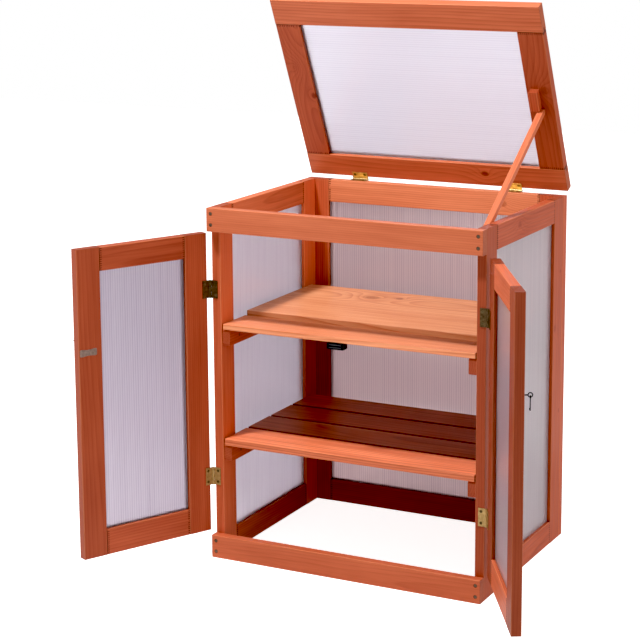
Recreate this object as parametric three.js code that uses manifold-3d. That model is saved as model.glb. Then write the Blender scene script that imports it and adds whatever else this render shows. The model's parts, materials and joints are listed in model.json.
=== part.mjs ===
// Wooden mini greenhouse with two glazed doors and a propped lid.
// Millimetres. X runs to the right, Y to the back and Z up. The origin lies on the floor, under the
// middle of the front bottom rail.
import * as THREE from "three";
import { mergeGeometries, mergeVertices } from "three/addons/utils/BufferGeometryUtils.js";
import Module from "manifold-3d";

const wasm = await Module();
wasm.setup();

// Cabinet
const WIDTH = 620;
const HEIGHT = 760;
const SIDE_DEPTH = 430;
const BOARD = 20; // thickness of every framing board
const EASE = 1.2; // radius worn onto every long edge
const SIDE_STILE = 53;
const SIDE_RAIL = 50;
const BACK_STILE = 55;
const BACK_RAIL = 51;
const FRONT_RAIL = 50; // height of the two front rails

// Doors
const DOOR_GAP = 2; // between the closed doors
const DOOR_END_GAP = 6; // between a door and the front rails
const DOOR_STILE = 53;
const DOOR_TOP_RAIL = 49;
const DOOR_BOTTOM_RAIL = 55;
const LEFT_DOOR_OPEN = 116.5; // degrees, as photographed
const RIGHT_DOOR_OPEN = 120.5; // degrees, as photographed
const DOOR_HINGE_INSET = 120; // from a door's end to the middle of its hinge

// Lid
const LID_STILE = 57;
const LID_REAR_RAIL = 54;
const LID_FRONT_RAIL = 60;
const LID_OPEN = 64.7; // degrees, as photographed
const LID_SETBACK = 1; // of the closed lid behind the fronts of the side frames
const LID_HINGE_INSET = 124; // from the lid's end to the middle of a hinge

// Twin-wall sheet
const SHEET = 4.5; // thickness over both skins
const SKIN = 0.7; // skins and webs
const FLUTE_PITCH = 5.4;
const GROOVE_DEPTH = 8;
const GROOVE_FIT = 0.3; // on each side of a sheet or a tongue
const SHEET_END_FIT = 1; // between a sheet's edge and the bottom of its groove

// Shelves
const SHELF_END_FIT = 3; // between a slat's end and a side frame
const SHELF_FRONT = 2; // behind the fronts of the side frames
const SLAT_GAP = 8;
const LOWER_SLATS = 4;
const LOWER_SHELF_BACK = 28; // between the last slat and the back frame
const LOWER_SLAT_THICK = 14.5;
const LOWER_SHELF_TOP = 260;
const UPPER_SLAT_WIDTH = 95;
const UPPER_SLAT_THICK = 12;
const UPPER_SHELF_TOP = 510; // of the front slat
const UPPER_SHELF_BACK = 25; // between the rear board and the back frame
const UPPER_BOARD_THICK = 21;
const CLEAT_SETBACK = 2; // behind the shelf's front edge
const CLEAT_WIDTH = 18;
const CLEAT_HEIGHT = 34;
const CLEAT_ROUND = 5; // radius on the cleats' front corners

// Butt hinges
const HINGE_HEIGHT = 38;
const KNUCKLES = 5;
const KNUCKLE_FIT = 0.3;
const BARREL_RADIUS = 2.5;
const PIN_RADIUS = 1.1;
const PIN_FIT = 0.1;
const PIN_SUNK = 1; // its ends, inside the end knuckles
const LEAF_REACH = 18; // from the pin to a leaf's free edge
const LEAF_THICK = 1.1;
const LEAF_SPACE = 0.4; // between the closed leaves
const LEAF_HOLE_RADIUS = 1.8;
const LEAF_HOLE_INSET = 6; // from a leaf's free edge
const LEAF_HOLE_PITCH = 24;
const PIN_OUTSIDE = 5; // from the cabinet's edge out to the pin

// Prop stick and its stop block
const STICK = 12; // square section
const STICK_SIDE_FIT = 2; // between the stick and the right side frame
const STICK_FOOT_Y = 52; // behind the fronts of the side frames
const STICK_FOOT_DOWN = 20; // below the tops of the side frames
const STICK_HOLE_RADIUS = 2;
const BLOCK_WIDTH = 19;
const BLOCK_LENGTH = 46;
const BLOCK_THICK = 17;
const BLOCK_INSET = 28; // from the lid's right end
const BLOCK_FROM_HINGE = 208; // from the lid's hinged edge

// Catch, eyes and hook
const CATCH_WIDTH = 39;
const CATCH_HEIGHT = 13.5;
const CATCH_DEPTH = 17;
const CATCH_PAST_EDGE = 3; // ahead of the shelf's front edge
const CATCH_RIGHT_X = -2;
const CATCH_ROUND = 2;
const POLE_INSET = 6; // from the catch's ends
const POLE_THICK = 1.6;
const POLE_PROUD = 0.5;
const MAGNET_THICK = 3.8; // between the two pole strips
const MAGNET_SUNK = 2;
const EYE_WIRE = 1; // wire radius of the eyes and the hook
const EYE_RADIUS = 4.2; // of the middle of the wire
const EYE_PROUD = 12; // from the door's face to the middle of the ring
const EYE_INSET = 11; // from the door's free edge
const EYE_Z = 512;
const EYE_SHANK_RADIUS = 1.3;
const EYE_SHANK_DEPTH = 13; // screwed into the door
const HOOK_LOOP_RADIUS = 2.7;
const HOOK_ENGAGED = 110; // degrees from hanging to lying in the other eye
const HOOK_TIP = 7;
const HOOK_BEND = 2.2; // from the corner of the hook to each end of its bend

// Screws
const SCREW_HEAD_RADIUS = 3.6;
const SCREW_HOLE_RADIUS = 1.8;
const SCREW_HEAD_DEPTH = 2.4;
const RAIL_SCREW_INSET = 10; // from a board's end
const RAIL_SCREW_HEIGHTS = [12, 35.5]; // below a front rail's top edge
const BACK_SCREW_INSET = 60; // from the ends of the back stiles; a third screw lies midway

const FIT = 0.3; // between pieces that lie against each other
const CUT = 1; // how far a cutter runs past the face it opens

// Where the pieces meet
const SIDE_FRONT = BOARD / 2;
const SIDE_BACK = SIDE_FRONT + SIDE_DEPTH;
const INNER_X = WIDTH / 2 - BOARD;
const LEAF_STACK = 2 * (LEAF_THICK + FIT) + LEAF_SPACE;
const PIN_OFFSET = LEAF_STACK / 2; // from a board's face to the pin
const HINGED_EDGE = PIN_OUTSIDE + DOOR_GAP / 2; // from a pin to the edge of its door or lid
const DOOR_WIDTH = (WIDTH - 2 * DOOR_GAP) / 2;
const DOOR_BOTTOM = FRONT_RAIL + DOOR_END_GAP;
const DOOR_HEIGHT = HEIGHT - 2 * DOOR_BOTTOM;
const LID_DEPTH = SIDE_DEPTH + BOARD - DOOR_GAP / 2 - LID_SETBACK;
const SHELF_DEPTH = SIDE_DEPTH - SHELF_FRONT - LOWER_SHELF_BACK;
const LOWER_SLAT_WIDTH = (SHELF_DEPTH - (LOWER_SLATS - 1) * SLAT_GAP) / LOWER_SLATS;
const UPPER_BOARD_WIDTH =
  SIDE_DEPTH - SHELF_FRONT - UPPER_SLAT_WIDTH - SLAT_GAP - UPPER_SHELF_BACK;

const colour = (hex, roughness, metalness = 0) => ({ color: hex, roughness, metalness });
const WOOD = colour(0xc8703c, 0.62);
const END_WOOD = colour(0xd98a5c, 0.66);
const POLYCARBONATE = colour(0xd9cfdc, 0.25);
const BRASS = colour(0xc9a04a, 0.3, 1);
const DARK_BRASS = colour(0x6a5330, 0.45, 1);
const BLACK_STEEL = colour(0x17171a, 0.4, 0.8);
const BLACK_PLASTIC = colour(0x141416, 0.5);

// A closed geometry as a manifold solid, and back again.
function solid(geometry) {
  const bare = geometry.clone();
  bare.deleteAttribute("normal");
  bare.deleteAttribute("uv");
  const merged = mergeVertices(bare, 1e-4);
  return new wasm.Manifold(
    new wasm.Mesh({
      numProp: 3,
      vertProperties: new Float32Array(merged.attributes.position.array),
      triVerts: new Uint32Array(merged.index.array),
    }),
  );
}

function geometryOf(manifold) {
  const mesh = manifold.getMesh();
  const geometry = new THREE.BufferGeometry();
  geometry.setAttribute("position", new THREE.BufferAttribute(mesh.vertProperties, 3));
  geometry.setIndex(new THREE.BufferAttribute(mesh.triVerts, 1));
  const faceted = geometry.toNonIndexed();
  faceted.computeVertexNormals();
  return faceted;
}

const join = (...pieces) => geometryOf(pieces.map(solid).reduce((a, b) => a.add(b)));
const cut = (body, ...cutters) =>
  geometryOf(cutters.map(solid).reduce((rest, cutter) => rest.subtract(cutter), solid(body)));

function mesh(name, geometry, material) {
  const piece = new THREE.Mesh(geometry, new THREE.MeshStandardMaterial(material));
  piece.name = name;
  return piece;
}

function group(x, y, z, ...children) {
  const holder = new THREE.Group();
  holder.position.set(x, y, z);
  holder.add(...children.flat());
  return holder;
}

function extrude(shape, depth, curveSegments = 3) {
  return new THREE.ExtrudeGeometry(shape, { depth, bevelEnabled: false, curveSegments });
}

// A box from its lowest corner and its three sizes.
function box(x, y, z, sizeX, sizeY, sizeZ) {
  return new THREE.BoxGeometry(sizeX, sizeY, sizeZ).translate(
    x + sizeX / 2,
    y + sizeY / 2,
    z + sizeZ / 2,
  );
}

// A round bar along Z from z = 0.
function bar(radius, length, segments = 16) {
  const profile = [
    new THREE.Vector2(0, 0),
    new THREE.Vector2(radius, 0),
    new THREE.Vector2(radius, length),
    new THREE.Vector2(0, length),
  ];
  return new THREE.LatheGeometry(profile, segments).rotateX(Math.PI / 2);
}

// Rectangle with eased corners: x from 0 to width, y from 0 to thick.
function easedOutline(width, thick, ease = EASE) {
  const outline = new THREE.Shape();
  outline.moveTo(ease, 0);
  outline.lineTo(width - ease, 0);
  outline.absarc(width - ease, ease, ease, -Math.PI / 2, 0);
  outline.lineTo(width, thick - ease);
  outline.absarc(width - ease, thick - ease, ease, 0, Math.PI / 2);
  outline.lineTo(ease, thick);
  outline.absarc(ease, thick - ease, ease, Math.PI / 2, Math.PI);
  outline.lineTo(0, ease);
  outline.absarc(ease, ease, ease, Math.PI, 1.5 * Math.PI);
  return outline;
}

// The same board with a sheet groove down the middle of its x = width edge.
function groovedOutline(width) {
  const half = SHEET / 2 + GROOVE_FIT;
  const outline = new THREE.Shape();
  outline.moveTo(EASE, 0);
  outline.lineTo(width - EASE, 0);
  outline.absarc(width - EASE, EASE, EASE, -Math.PI / 2, 0);
  outline.lineTo(width, BOARD / 2 - half);
  outline.lineTo(width - GROOVE_DEPTH, BOARD / 2 - half);
  outline.lineTo(width - GROOVE_DEPTH, BOARD / 2 + half);
  outline.lineTo(width, BOARD / 2 + half);
  outline.absarc(width - EASE, BOARD - EASE, EASE, 0, Math.PI / 2);
  outline.lineTo(EASE, BOARD);
  outline.absarc(EASE, BOARD - EASE, EASE, Math.PI / 2, Math.PI);
  outline.lineTo(0, EASE);
  outline.absarc(EASE, EASE, EASE, Math.PI, 1.5 * Math.PI);
  return outline;
}

// A grooved board along Z: x from its outer edge to its grooved edge, y through its thickness.
function longBoard(width, length) {
  return extrude(groovedOutline(width), length);
}

// A grooved board between two long boards, along X, with a tongue on each end. Its outer edge is at
// z = 0 and its grooved edge faces up.
function crossBoard(width, span) {
  const tongue = GROOVE_DEPTH - FIT;
  const body = extrude(groovedOutline(width), span - 2 * FIT).translate(0, 0, FIT);
  const tongues = box(0, (BOARD - SHEET) / 2, -tongue, width - GROOVE_DEPTH, SHEET, span + 2 * tongue);
  return join(body, tongues).rotateY(-Math.PI / 2).translate(span, 0, 0);
}

// Twin-wall sheet: two skins joined by webs, with open flutes along Z.
function twinWall(width, length) {
  const flutes = Math.floor((width - SKIN) / FLUTE_PITCH);
  const margin = (width - flutes * FLUTE_PITCH + SKIN) / 2;
  const hollows = [];
  for (let i = 0; i < flutes; i++) {
    const from = margin + i * FLUTE_PITCH;
    hollows.push(
      box(from, SKIN, -CUT, FLUTE_PITCH - SKIN, SHEET - 2 * SKIN, length + 2 * CUT),
    );
  }
  return cut(box(0, 0, 0, width, SHEET, length), mergeGeometries(hollows));
}

// A glazed frame: x from 0 to width, y through its thickness, z from 0 to height. The long boards
// run the full height at x = 0 and x = width; the cross boards lie between them.
function glazedFrame(names, width, height, boards, holes = {}) {
  const span = width - boards.first - boards.second;
  const clear = height - boards.low - boards.high;
  const reach = GROOVE_DEPTH - SHEET_END_FIT;
  let first = longBoard(boards.first, height);
  let second = longBoard(boards.second, height).rotateZ(Math.PI).translate(width, BOARD, 0);
  if (holes.first) first = cut(first, ...holes.first);
  if (holes.second) second = cut(second, ...holes.second);
  const low = crossBoard(boards.low, span).translate(boards.first, 0, 0);
  const high = crossBoard(boards.high, span)
    .rotateX(Math.PI)
    .translate(boards.first, BOARD, height);
  const sheet = twinWall(span + 2 * reach, clear + 2 * reach).translate(
    boards.first - reach,
    (BOARD - SHEET) / 2,
    boards.low - reach,
  );
  return [
    mesh(names.first, first, WOOD),
    mesh(names.second, second, WOOD),
    mesh(names.low, low, WOOD),
    mesh(names.high, high, WOOD),
    mesh(names.sheet, sheet, POLYCARBONATE),
  ];
}

const frameNames = (frame, first, second) => ({
  first: `${frame}_${first}`,
  second: `${frame}_${second}`,
  low: `${frame}_bottom_rail`,
  high: `${frame}_top_rail`,
  sheet: `${frame}_sheet`,
});

// A screw hole along Y that enters at y = 0: a flared seat for the head, then the clearance hole.
function countersink(x, z, thick = BOARD) {
  const profile = [
    new THREE.Vector2(0, -CUT),
    new THREE.Vector2(SCREW_HEAD_RADIUS, -CUT),
    new THREE.Vector2(SCREW_HEAD_RADIUS, 0),
    new THREE.Vector2(SCREW_HOLE_RADIUS, SCREW_HEAD_DEPTH),
    new THREE.Vector2(SCREW_HOLE_RADIUS, thick + CUT),
    new THREE.Vector2(0, thick + CUT),
  ];
  return new THREE.LatheGeometry(profile, 14).translate(x, 0, z);
}

function sideFrame(side) {
  const boards = { first: SIDE_STILE, second: SIDE_STILE, low: SIDE_RAIL, high: SIDE_RAIL };
  const names = frameNames(`${side}_side`, "front_stile", "rear_stile");
  const frame = group(0, 0, 0, glazedFrame(names, SIDE_DEPTH, HEIGHT, boards));
  frame.rotation.z = Math.PI / 2;
  frame.position.set(side === "left" ? -INNER_X : WIDTH / 2, SIDE_FRONT, 0);
  return frame;
}

function backFrame() {
  const boards = { first: BACK_STILE, second: BACK_STILE, low: BACK_RAIL, high: BACK_RAIL };
  const names = frameNames("back", "left_stile", "right_stile");
  const heights = [BACK_SCREW_INSET, HEIGHT / 2, HEIGHT - BACK_SCREW_INSET];
  const screws = (x) =>
    heights.map((z) => countersink(x, -z).rotateX(Math.PI).translate(0, BOARD, 0));
  const frame = glazedFrame(names, WIDTH, HEIGHT, boards, {
    first: screws(RAIL_SCREW_INSET),
    second: screws(WIDTH - RAIL_SCREW_INSET),
  });
  return group(-WIDTH / 2, SIDE_BACK, 0, frame);
}

// The two front boards, screwed to the front ends of the side frames.
function frontRail(name, bottom) {
  const board = extrude(easedOutline(FRONT_RAIL, BOARD), WIDTH)
    .rotateY(-Math.PI / 2)
    .translate(WIDTH / 2, 0, 0);
  const holes = [-1, 1].flatMap((end) =>
    RAIL_SCREW_HEIGHTS.map((down) =>
      countersink(end * (WIDTH / 2 - RAIL_SCREW_INSET), FRONT_RAIL - down),
    ),
  );
  return group(0, SIDE_FRONT - BOARD, bottom, mesh(name, cut(board, ...holes), WOOD));
}

// A cleat along Y on a side frame's inner face; its two front corners are rounded.
function cleat(name, side, top, length) {
  const outline = new THREE.Shape();
  outline.moveTo(length, 0);
  outline.lineTo(length, CLEAT_HEIGHT);
  outline.lineTo(CLEAT_ROUND, CLEAT_HEIGHT);
  outline.absarc(CLEAT_ROUND, CLEAT_HEIGHT - CLEAT_ROUND, CLEAT_ROUND, Math.PI / 2, Math.PI);
  outline.lineTo(0, CLEAT_ROUND);
  outline.absarc(CLEAT_ROUND, CLEAT_ROUND, CLEAT_ROUND, Math.PI, 1.5 * Math.PI);
  const body = extrude(outline, CLEAT_WIDTH, 4).rotateX(Math.PI / 2).rotateZ(Math.PI / 2);
  const inner = INNER_X - FIT;
  const x = side === "left" ? -inner : inner - CLEAT_WIDTH;
  const y = SIDE_FRONT + SHELF_FRONT + CLEAT_SETBACK;
  return group(x, y, top - CLEAT_HEIGHT, mesh(name, body, END_WOOD));
}

// A shelf board along X with its front edge at y and its top at z.
function slat(name, y, top, width, thick) {
  const length = 2 * (INNER_X - SHELF_END_FIT);
  const board = extrude(easedOutline(width, thick), length)
    .rotateY(Math.PI / 2)
    .rotateX(Math.PI / 2)
    .translate(-length / 2, 0, -thick);
  return group(0, y, top, mesh(name, board, END_WOOD));
}

function lowerShelf() {
  const front = SIDE_FRONT + SHELF_FRONT;
  const pitch = LOWER_SLAT_WIDTH + SLAT_GAP;
  const cleatTop = LOWER_SHELF_TOP - LOWER_SLAT_THICK - FIT;
  const pieces = ["left", "right"].map((side) =>
    cleat(`lower_cleat_${side}`, side, cleatTop, SHELF_DEPTH),
  );
  for (let i = 0; i < LOWER_SLATS; i++) {
    const name = `lower_slat_${i + 1}`;
    pieces.push(slat(name, front + i * pitch, LOWER_SHELF_TOP, LOWER_SLAT_WIDTH, LOWER_SLAT_THICK));
  }
  return pieces;
}

function upperShelf() {
  const front = SIDE_FRONT + SHELF_FRONT;
  const seat = UPPER_SHELF_TOP - UPPER_SLAT_THICK;
  const boardFront = front + UPPER_SLAT_WIDTH + SLAT_GAP;
  const depth = boardFront + UPPER_BOARD_WIDTH - front;
  return [
    cleat("upper_cleat_left", "left", seat - FIT, depth),
    cleat("upper_cleat_right", "right", seat - FIT, depth),
    slat("upper_front_slat", front, UPPER_SHELF_TOP, UPPER_SLAT_WIDTH, UPPER_SLAT_THICK),
    slat(
      "upper_rear_board",
      boardFront,
      seat + UPPER_BOARD_THICK,
      UPPER_BOARD_WIDTH,
      UPPER_BOARD_THICK,
    ),
    group(CATCH_RIGHT_X, front - CATCH_PAST_EDGE, seat - FIT, magneticCatch()),
  ];
}

// Black catch under the shelf: a rounded housing with a magnet sunk between two steel pole strips
// that stand out of its front.
function magneticCatch() {
  const strip = CATCH_WIDTH - 2 * POLE_INSET;
  const left = -CATCH_WIDTH + POLE_INSET;
  const low = -(CATCH_HEIGHT + MAGNET_THICK) / 2;
  const housing = extrude(easedOutline(CATCH_WIDTH, CATCH_HEIGHT, CATCH_ROUND), CATCH_DEPTH)
    .rotateX(Math.PI / 2)
    .translate(-CATCH_WIDTH, CATCH_DEPTH, -CATCH_HEIGHT);
  const slot = box(left, -CUT, low, strip, MAGNET_SUNK + CUT, MAGNET_THICK);
  const pole = (z) => box(left, -POLE_PROUD, z, strip, MAGNET_SUNK, POLE_THICK);
  const poles = [pole(low - POLE_THICK), pole(low + MAGNET_THICK)];
  return mesh("catch", join(cut(housing, slot), ...poles), BLACK_PLASTIC);
}

// One leaf of a butt hinge whose pin runs along Z. The leaf reaches along +X. Its plate lies on the
// board's side of the pin, at +Y, for the fixed leaf and at -Y for the moving one.
function hingeLeaf(fixed) {
  const pitch = HINGE_HEIGHT / KNUCKLES;
  const low = -HINGE_HEIGHT / 2;
  const owns = (i) => (i % 2 === 0) === fixed;
  const clear = BARREL_RADIUS + KNUCKLE_FIT;
  const root = (BARREL_RADIUS + PIN_RADIUS + PIN_FIT) / 2;
  const outline = new THREE.Shape();
  outline.moveTo(LEAF_REACH, low);
  outline.lineTo(LEAF_REACH, -low);
  for (let i = KNUCKLES - 1; i >= 0; i--) {
    const inset = owns(i) ? KNUCKLE_FIT / 2 : -KNUCKLE_FIT / 2;
    const top = i === KNUCKLES - 1 ? -low : low + (i + 1) * pitch - inset;
    const bottom = i === 0 ? low : low + i * pitch + inset;
    const x = owns(i) ? root : clear;
    outline.lineTo(x, top);
    outline.lineTo(x, bottom);
  }
  for (const z of [-LEAF_HOLE_PITCH / 2, LEAF_HOLE_PITCH / 2]) {
    const hole = new THREE.Path();
    hole.absarc(LEAF_REACH - LEAF_HOLE_INSET, z, LEAF_HOLE_RADIUS, 0, 2 * Math.PI, true);
    outline.holes.push(hole);
  }
  const plateY = fixed ? LEAF_SPACE / 2 + LEAF_THICK : -LEAF_SPACE / 2;
  const plate = extrude(outline, LEAF_THICK, 6).rotateX(Math.PI / 2).translate(0, plateY, 0);
  const knuckles = [];
  for (let i = 0; i < KNUCKLES; i++) {
    if (!owns(i)) continue;
    const ring = new THREE.Shape().absarc(0, 0, BARREL_RADIUS, 0, 2 * Math.PI);
    if (!fixed) {
      ring.holes.push(new THREE.Path().absarc(0, 0, PIN_RADIUS + PIN_FIT, 0, 2 * Math.PI, true));
    }
    const from = low + i * pitch + (i === 0 ? 0 : KNUCKLE_FIT / 2);
    const to = low + (i + 1) * pitch - (i === KNUCKLES - 1 ? 0 : KNUCKLE_FIT / 2);
    knuckles.push(extrude(ring, to - from, 8).translate(0, 0, from));
  }
  if (fixed) {
    const pin = bar(PIN_RADIUS, HINGE_HEIGHT - 2 * PIN_SUNK, 12);
    knuckles.push(pin.translate(0, 0, low + PIN_SUNK));
  }
  return join(plate, ...knuckles);
}

const FIXED_LEAF = hingeLeaf(true);
const MOVING_LEAF = hingeLeaf(false);

// The pin of a door's hinges, seen from above, and the heights of the hinges' middles.
const PIN_X = WIDTH / 2 + PIN_OUTSIDE;
const PIN_Y = SIDE_FRONT - PIN_OFFSET;
const DOOR_HINGES = [
  { place: "lower", z: DOOR_BOTTOM + DOOR_HINGE_INSET, finish: BRASS },
  { place: "upper", z: DOOR_BOTTOM + DOOR_HEIGHT - DOOR_HINGE_INSET, finish: DARK_BRASS },
];

function postLeaves(side) {
  return DOOR_HINGES.map(({ place, z, finish }) => {
    const leaf = mesh(`${side}_door_${place}_hinge_post_leaf`, FIXED_LEAF.clone(), finish);
    const holder = group(side === "left" ? -PIN_X : PIN_X, PIN_Y, z, leaf);
    if (side === "right") holder.rotation.y = Math.PI;
    return holder;
  });
}

// A door in its closed place, with its hinge pin on the group's Z axis.
function door(side) {
  const boards = {
    first: DOOR_STILE,
    second: DOOR_STILE,
    low: DOOR_BOTTOM_RAIL,
    high: DOOR_TOP_RAIL,
  };
  const names = frameNames(`${side}_door`, "hinge_stile", "free_stile");
  const outerFace = -PIN_OFFSET - BOARD;
  const eyeX = DOOR_WIDTH - EYE_INSET;
  const eyeZ = EYE_Z - DOOR_BOTTOM;
  const mirrored = side === "right";
  const boreFace = mirrored ? BOARD - EYE_SHANK_DEPTH - CUT : -CUT;
  const bore = bar(EYE_SHANK_RADIUS + FIT, EYE_SHANK_DEPTH + 2 * CUT, 12)
    .rotateX(-Math.PI / 2)
    .translate(eyeX, boreFace, eyeZ);
  const frame = group(
    HINGED_EDGE,
    outerFace,
    DOOR_BOTTOM,
    glazedFrame(names, DOOR_WIDTH, DOOR_HEIGHT, boards, { second: [bore] }),
  );
  if (mirrored) {
    frame.rotation.z = Math.PI;
    frame.position.set(-HINGED_EDGE, -PIN_OFFSET, DOOR_BOTTOM);
  }
  const towards = mirrored ? -1 : 1;
  const hardware = DOOR_HINGES.map(({ place, z, finish }) => {
    const leaf = mesh(`${side}_door_${place}_hinge_door_leaf`, MOVING_LEAF.clone(), finish);
    const holder = group(0, 0, z, leaf);
    if (mirrored) holder.rotation.y = Math.PI;
    return holder;
  });
  const eyePlace = [towards * (HINGED_EDGE + eyeX), outerFace, EYE_Z];
  hardware.push(group(...eyePlace, screwEye(`${side}_eye`, side === "left")));
  if (mirrored) hardware.push(group(...eyePlace, hook()));
  const swung = group(towards * -PIN_X, PIN_Y, 0, frame, hardware);
  const open = side === "left" ? -LEFT_DOOR_OPEN : RIGHT_DOOR_OPEN;
  swung.rotation.z = THREE.MathUtils.degToRad(open);
  return swung;
}

// A screw eye in a face at y = 0 that looks to -Y. Its ring stands up, or lies level.
function screwEye(name, level) {
  const ring = new THREE.TorusGeometry(EYE_RADIUS, EYE_WIRE, 8, 20);
  if (!level) ring.rotateY(Math.PI / 2);
  ring.translate(0, -EYE_PROUD, 0);
  const neck = EYE_PROUD - EYE_RADIUS;
  const shank = bar(EYE_SHANK_RADIUS, neck + EYE_SHANK_DEPTH, 12)
    .rotateX(-Math.PI / 2)
    .translate(0, -neck, 0);
  return mesh(name, join(ring, shank), BLACK_STEEL);
}

// The hook hangs from the bottom of the right eye's ring and turns about Y there. Its leg is as long
// as the two eyes are apart, and its tip then drops through the left eye.
function hook() {
  const pivot = new THREE.Vector3(0, -EYE_PROUD, -EYE_RADIUS);
  const between = DOOR_GAP + 2 * EYE_INSET;
  const above = THREE.MathUtils.degToRad(HOOK_ENGAGED - 90);
  const leg = between / Math.cos(above);
  const loop = new THREE.TorusGeometry(HOOK_LOOP_RADIUS, EYE_WIRE, 8, 16);
  const tipWay = new THREE.Vector3(Math.cos(above), 0, Math.sin(above));
  const corner = new THREE.Vector3(0, 0, -leg);
  const path = new THREE.CurvePath();
  const legEnd = new THREE.Vector3(0, 0, -leg + HOOK_BEND);
  const tipStart = corner.clone().addScaledVector(tipWay, HOOK_BEND);
  path.add(new THREE.LineCurve3(new THREE.Vector3(0, 0, -HOOK_LOOP_RADIUS), legEnd));
  path.add(new THREE.QuadraticBezierCurve3(legEnd, corner, tipStart));
  path.add(new THREE.LineCurve3(tipStart, corner.clone().addScaledVector(tipWay, HOOK_TIP)));
  const wire = new THREE.Shape().absarc(0, 0, EYE_WIRE, 0, 2 * Math.PI);
  const bent = new THREE.ExtrudeGeometry(wire, { steps: 24, curveSegments: 5, extrudePath: path });
  const body = join(loop.rotateX(Math.PI / 2), bent).translate(pivot.x, pivot.y, pivot.z);
  return mesh("hook", body, BLACK_STEEL);
}

// The lid's hinge pins, and the frame in which a board's width runs towards the lid's free edge,
// its thickness down and its length to the right.
const LID_PIN_Y = SIDE_BACK + BOARD + PIN_OUTSIDE;
const LID_PIN_Z = HEIGHT + PIN_OFFSET;
const LID_AXES = new THREE.Matrix4().makeBasis(
  new THREE.Vector3(0, -1, 0),
  new THREE.Vector3(0, 0, -1),
  new THREE.Vector3(1, 0, 0),
);

function laidFlat(x, y, z, ...children) {
  const holder = group(x, y, z, ...children);
  holder.quaternion.setFromRotationMatrix(LID_AXES);
  return holder;
}

const LID_HINGE_X = WIDTH / 2 - LID_HINGE_INSET;
const LID_HINGES = [
  { place: "left", x: -LID_HINGE_X },
  { place: "right", x: LID_HINGE_X },
];

function backLeaves() {
  return LID_HINGES.map(({ place, x }) =>
    laidFlat(
      x,
      LID_PIN_Y,
      LID_PIN_Z,
      mesh(`lid_${place}_hinge_back_leaf`, FIXED_LEAF.clone(), BRASS),
    ),
  );
}

// The lid in its closed place, with its hinge pins on the group's X axis.
function lid() {
  const boards = {
    first: LID_REAR_RAIL,
    second: LID_FRONT_RAIL,
    low: LID_STILE,
    high: LID_STILE,
  };
  const names = {
    first: "lid_rear_rail",
    second: "lid_front_rail",
    low: "lid_left_stile",
    high: "lid_right_stile",
    sheet: "lid_sheet",
  };
  const underside = PIN_OFFSET;
  const frame = laidFlat(
    -WIDTH / 2,
    -HINGED_EDGE,
    underside + BOARD,
    glazedFrame(names, LID_DEPTH, WIDTH, boards),
  );
  const leaves = LID_HINGES.map(({ place, x }) =>
    laidFlat(x, 0, 0, mesh(`lid_${place}_hinge_lid_leaf`, MOVING_LEAF.clone(), BRASS)),
  );
  const block = extrude(easedOutline(BLOCK_WIDTH, BLOCK_THICK), BLOCK_LENGTH)
    .rotateX(Math.PI / 2)
    .translate(
      WIDTH / 2 - BLOCK_INSET - BLOCK_WIDTH,
      -HINGED_EDGE - BLOCK_FROM_HINGE,
      underside - FIT - BLOCK_THICK,
    );
  const turned = group(0, LID_PIN_Y, LID_PIN_Z, frame, leaves, mesh("stop_block", block, END_WOOD));
  turned.rotation.x = THREE.MathUtils.degToRad(-LID_OPEN);
  return turned;
}

// The stick stands on its foot by the right side frame, and its round tip bears on the lid just
// below the stop block.
function propStick() {
  const open = THREE.MathUtils.degToRad(LID_OPEN);
  const along = HINGED_EDGE + BLOCK_FROM_HINGE - FIT - STICK / 2;
  const below = -PIN_OFFSET + FIT + STICK / 2;
  const tip = new THREE.Vector2(
    LID_PIN_Y - along * Math.cos(open) - below * Math.sin(open),
    LID_PIN_Z + along * Math.sin(open) - below * Math.cos(open),
  );
  const foot = new THREE.Vector2(SIDE_FRONT + STICK_FOOT_Y, HEIGHT - STICK_FOOT_DOWN);
  const way = tip.clone().sub(foot);
  const half = STICK / 2;
  const outline = new THREE.Shape();
  outline.absarc(0, 0, half, Math.PI / 2, 1.5 * Math.PI);
  outline.absarc(way.length(), 0, half, -Math.PI / 2, Math.PI / 2);
  const hole = new THREE.Path();
  hole.absarc(0, 0, STICK_HOLE_RADIUS, 0, 2 * Math.PI, true);
  outline.holes.push(hole);
  const stick = mesh("prop_stick", extrude(outline, STICK, 6), END_WOOD);
  stick.geometry.rotateX(Math.PI / 2).rotateZ(Math.PI / 2);
  const holder = group(INNER_X - STICK_SIDE_FIT - STICK, foot.x, foot.y, stick);
  holder.rotation.x = way.angle();
  return holder;
}

const greenhouse = new THREE.Group();
greenhouse.name = "mini_greenhouse";
greenhouse.add(
  sideFrame("left"),
  sideFrame("right"),
  backFrame(),
  frontRail("front_bottom_rail", 0),
  frontRail("front_top_rail", HEIGHT - FRONT_RAIL),
  ...lowerShelf(),
  ...upperShelf(),
  ...postLeaves("left"),
  ...postLeaves("right"),
  door("left"),
  door("right"),
  ...backLeaves(),
  lid(),
  propStick(),
);

export default greenhouse;
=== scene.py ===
# A wooden mini greenhouse with its doors open and its lid propped up, in a pale studio.
import json
import math

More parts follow.
